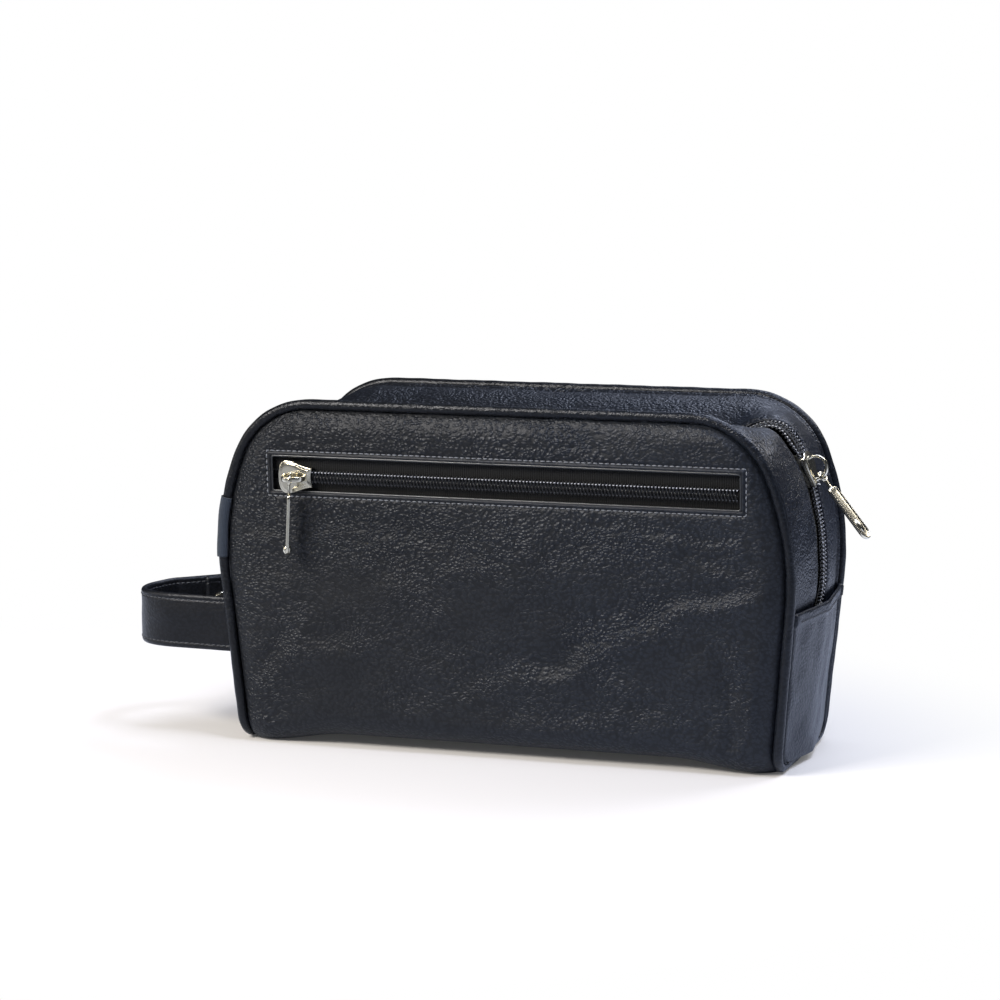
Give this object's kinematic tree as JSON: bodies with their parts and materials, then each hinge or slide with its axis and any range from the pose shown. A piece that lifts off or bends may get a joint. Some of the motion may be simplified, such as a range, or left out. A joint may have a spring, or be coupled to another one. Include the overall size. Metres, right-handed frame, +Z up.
{
  "type": "toiletry bag",
  "caption": "Leather toiletry bag with a piped edge, a long zip round the sides and top that stands open, a zipped front pocket and a wrist strap with a snap.",
  "frame": {"origin": "middle of the underside of the bag, on the surface it stands on", "axes": "+X to the right along the bag's length, seen from the front; -Y out of the front; +Z up"},
  "size_m": [0.3359, 0.1209, 0.1567],
  "materials": {
    "leather": "pebbled black",
    "lining": "plain woven",
    "zip_tape": "ribbed tape",
    "zip_coil": "satin nylon",
    "nickel": "bright nickel plate",
    "label": "woven ribbon",
    "board": "fibre board"
  },
  "bodies": {
    "root": {"front_panel": "leather", "back_panel": "leather", "bottom_panel": "leather", "side_gusset_right": "leather", "side_gusset_left": "leather", "zip_gusset_front": "leather", "zip_gusset_rear": "leather", "edge_piping": "leather", "lining_front": "lining", "lining_back": "lining", "lining_bottom": "lining", "lining_side_right": "lining", "lining_side_left": "lining", "lining_zip_gusset_front": "lining", "lining_zip_gusset_rear": "lining", "base_board": "board", "main_tape_front": "zip_tape", "main_tape_rear": "zip_tape", "main_coil_front": "zip_coil", "main_coil_rear": "zip_coil", "main_top_stop_front": "nickel", "main_top_stop_rear": "nickel", "main_end_stop": "nickel", "pocket_tape_upper": "zip_tape", "pocket_tape_lower": "zip_tape", "pocket_coil_upper": "zip_coil", "pocket_coil_lower": "zip_coil", "pocket_lining_front": "lining", "pocket_lining_back": "lining", "strap_loop": "leather", "strap_rear_tab": "leather", "snap_rivet": "nickel", "snap_stud": "nickel", "label_tab": "label"},
    "main_slider": {"main_slider_body": "nickel", "main_slider_crown": "nickel"},
    "main_pull": {"main_pull_tab": "nickel"},
    "pocket_slider": {"pocket_slider_body": "nickel", "pocket_slider_crown": "nickel"},
    "pocket_pull": {"pocket_pull_tab": "nickel"},
    "strap_end": {"strap_free_end": "leather", "snap_socket": "nickel", "snap_cap": "nickel"}
  },
  "joints": [
    {"name": "main_slider_travel", "type": "hinge", "parent": "root", "child": "main_slider", "pos_m": [0.01, 0, 0.08451], "axis": [0, 1, 0], "range_deg": [0, 21.7], "deforming": ["main_coil_front", "main_coil_rear"]},
    {"name": "main_pull_swing", "type": "hinge", "parent": "main_slider", "child": "main_pull", "pos_m": [0.12883, 0, 0.12894], "axis": [0, 1, 0], "range_deg": [-140, 4]},
    {"name": "pocket_slider_travel", "type": "slide", "parent": "root", "child": "pocket_slider", "axis": [1, 0, 0], "range_m": [0, 0.1923], "deforming": ["pocket_coil_upper", "pocket_coil_lower"]},
    {"name": "pocket_pull_swing", "type": "hinge", "parent": "pocket_slider", "child": "pocket_pull", "pos_m": [-0.0919, -0.06221, 0.12203], "axis": [-1, 0, 0], "range_deg": [0, 150]},
    {"name": "strap_end_peel", "type": "hinge", "parent": "root", "child": "strap_end", "pos_m": [-0.17611, 0.005, 0.0525], "axis": [0, 0, 1], "range_deg": [0, 60]}
  ]
}
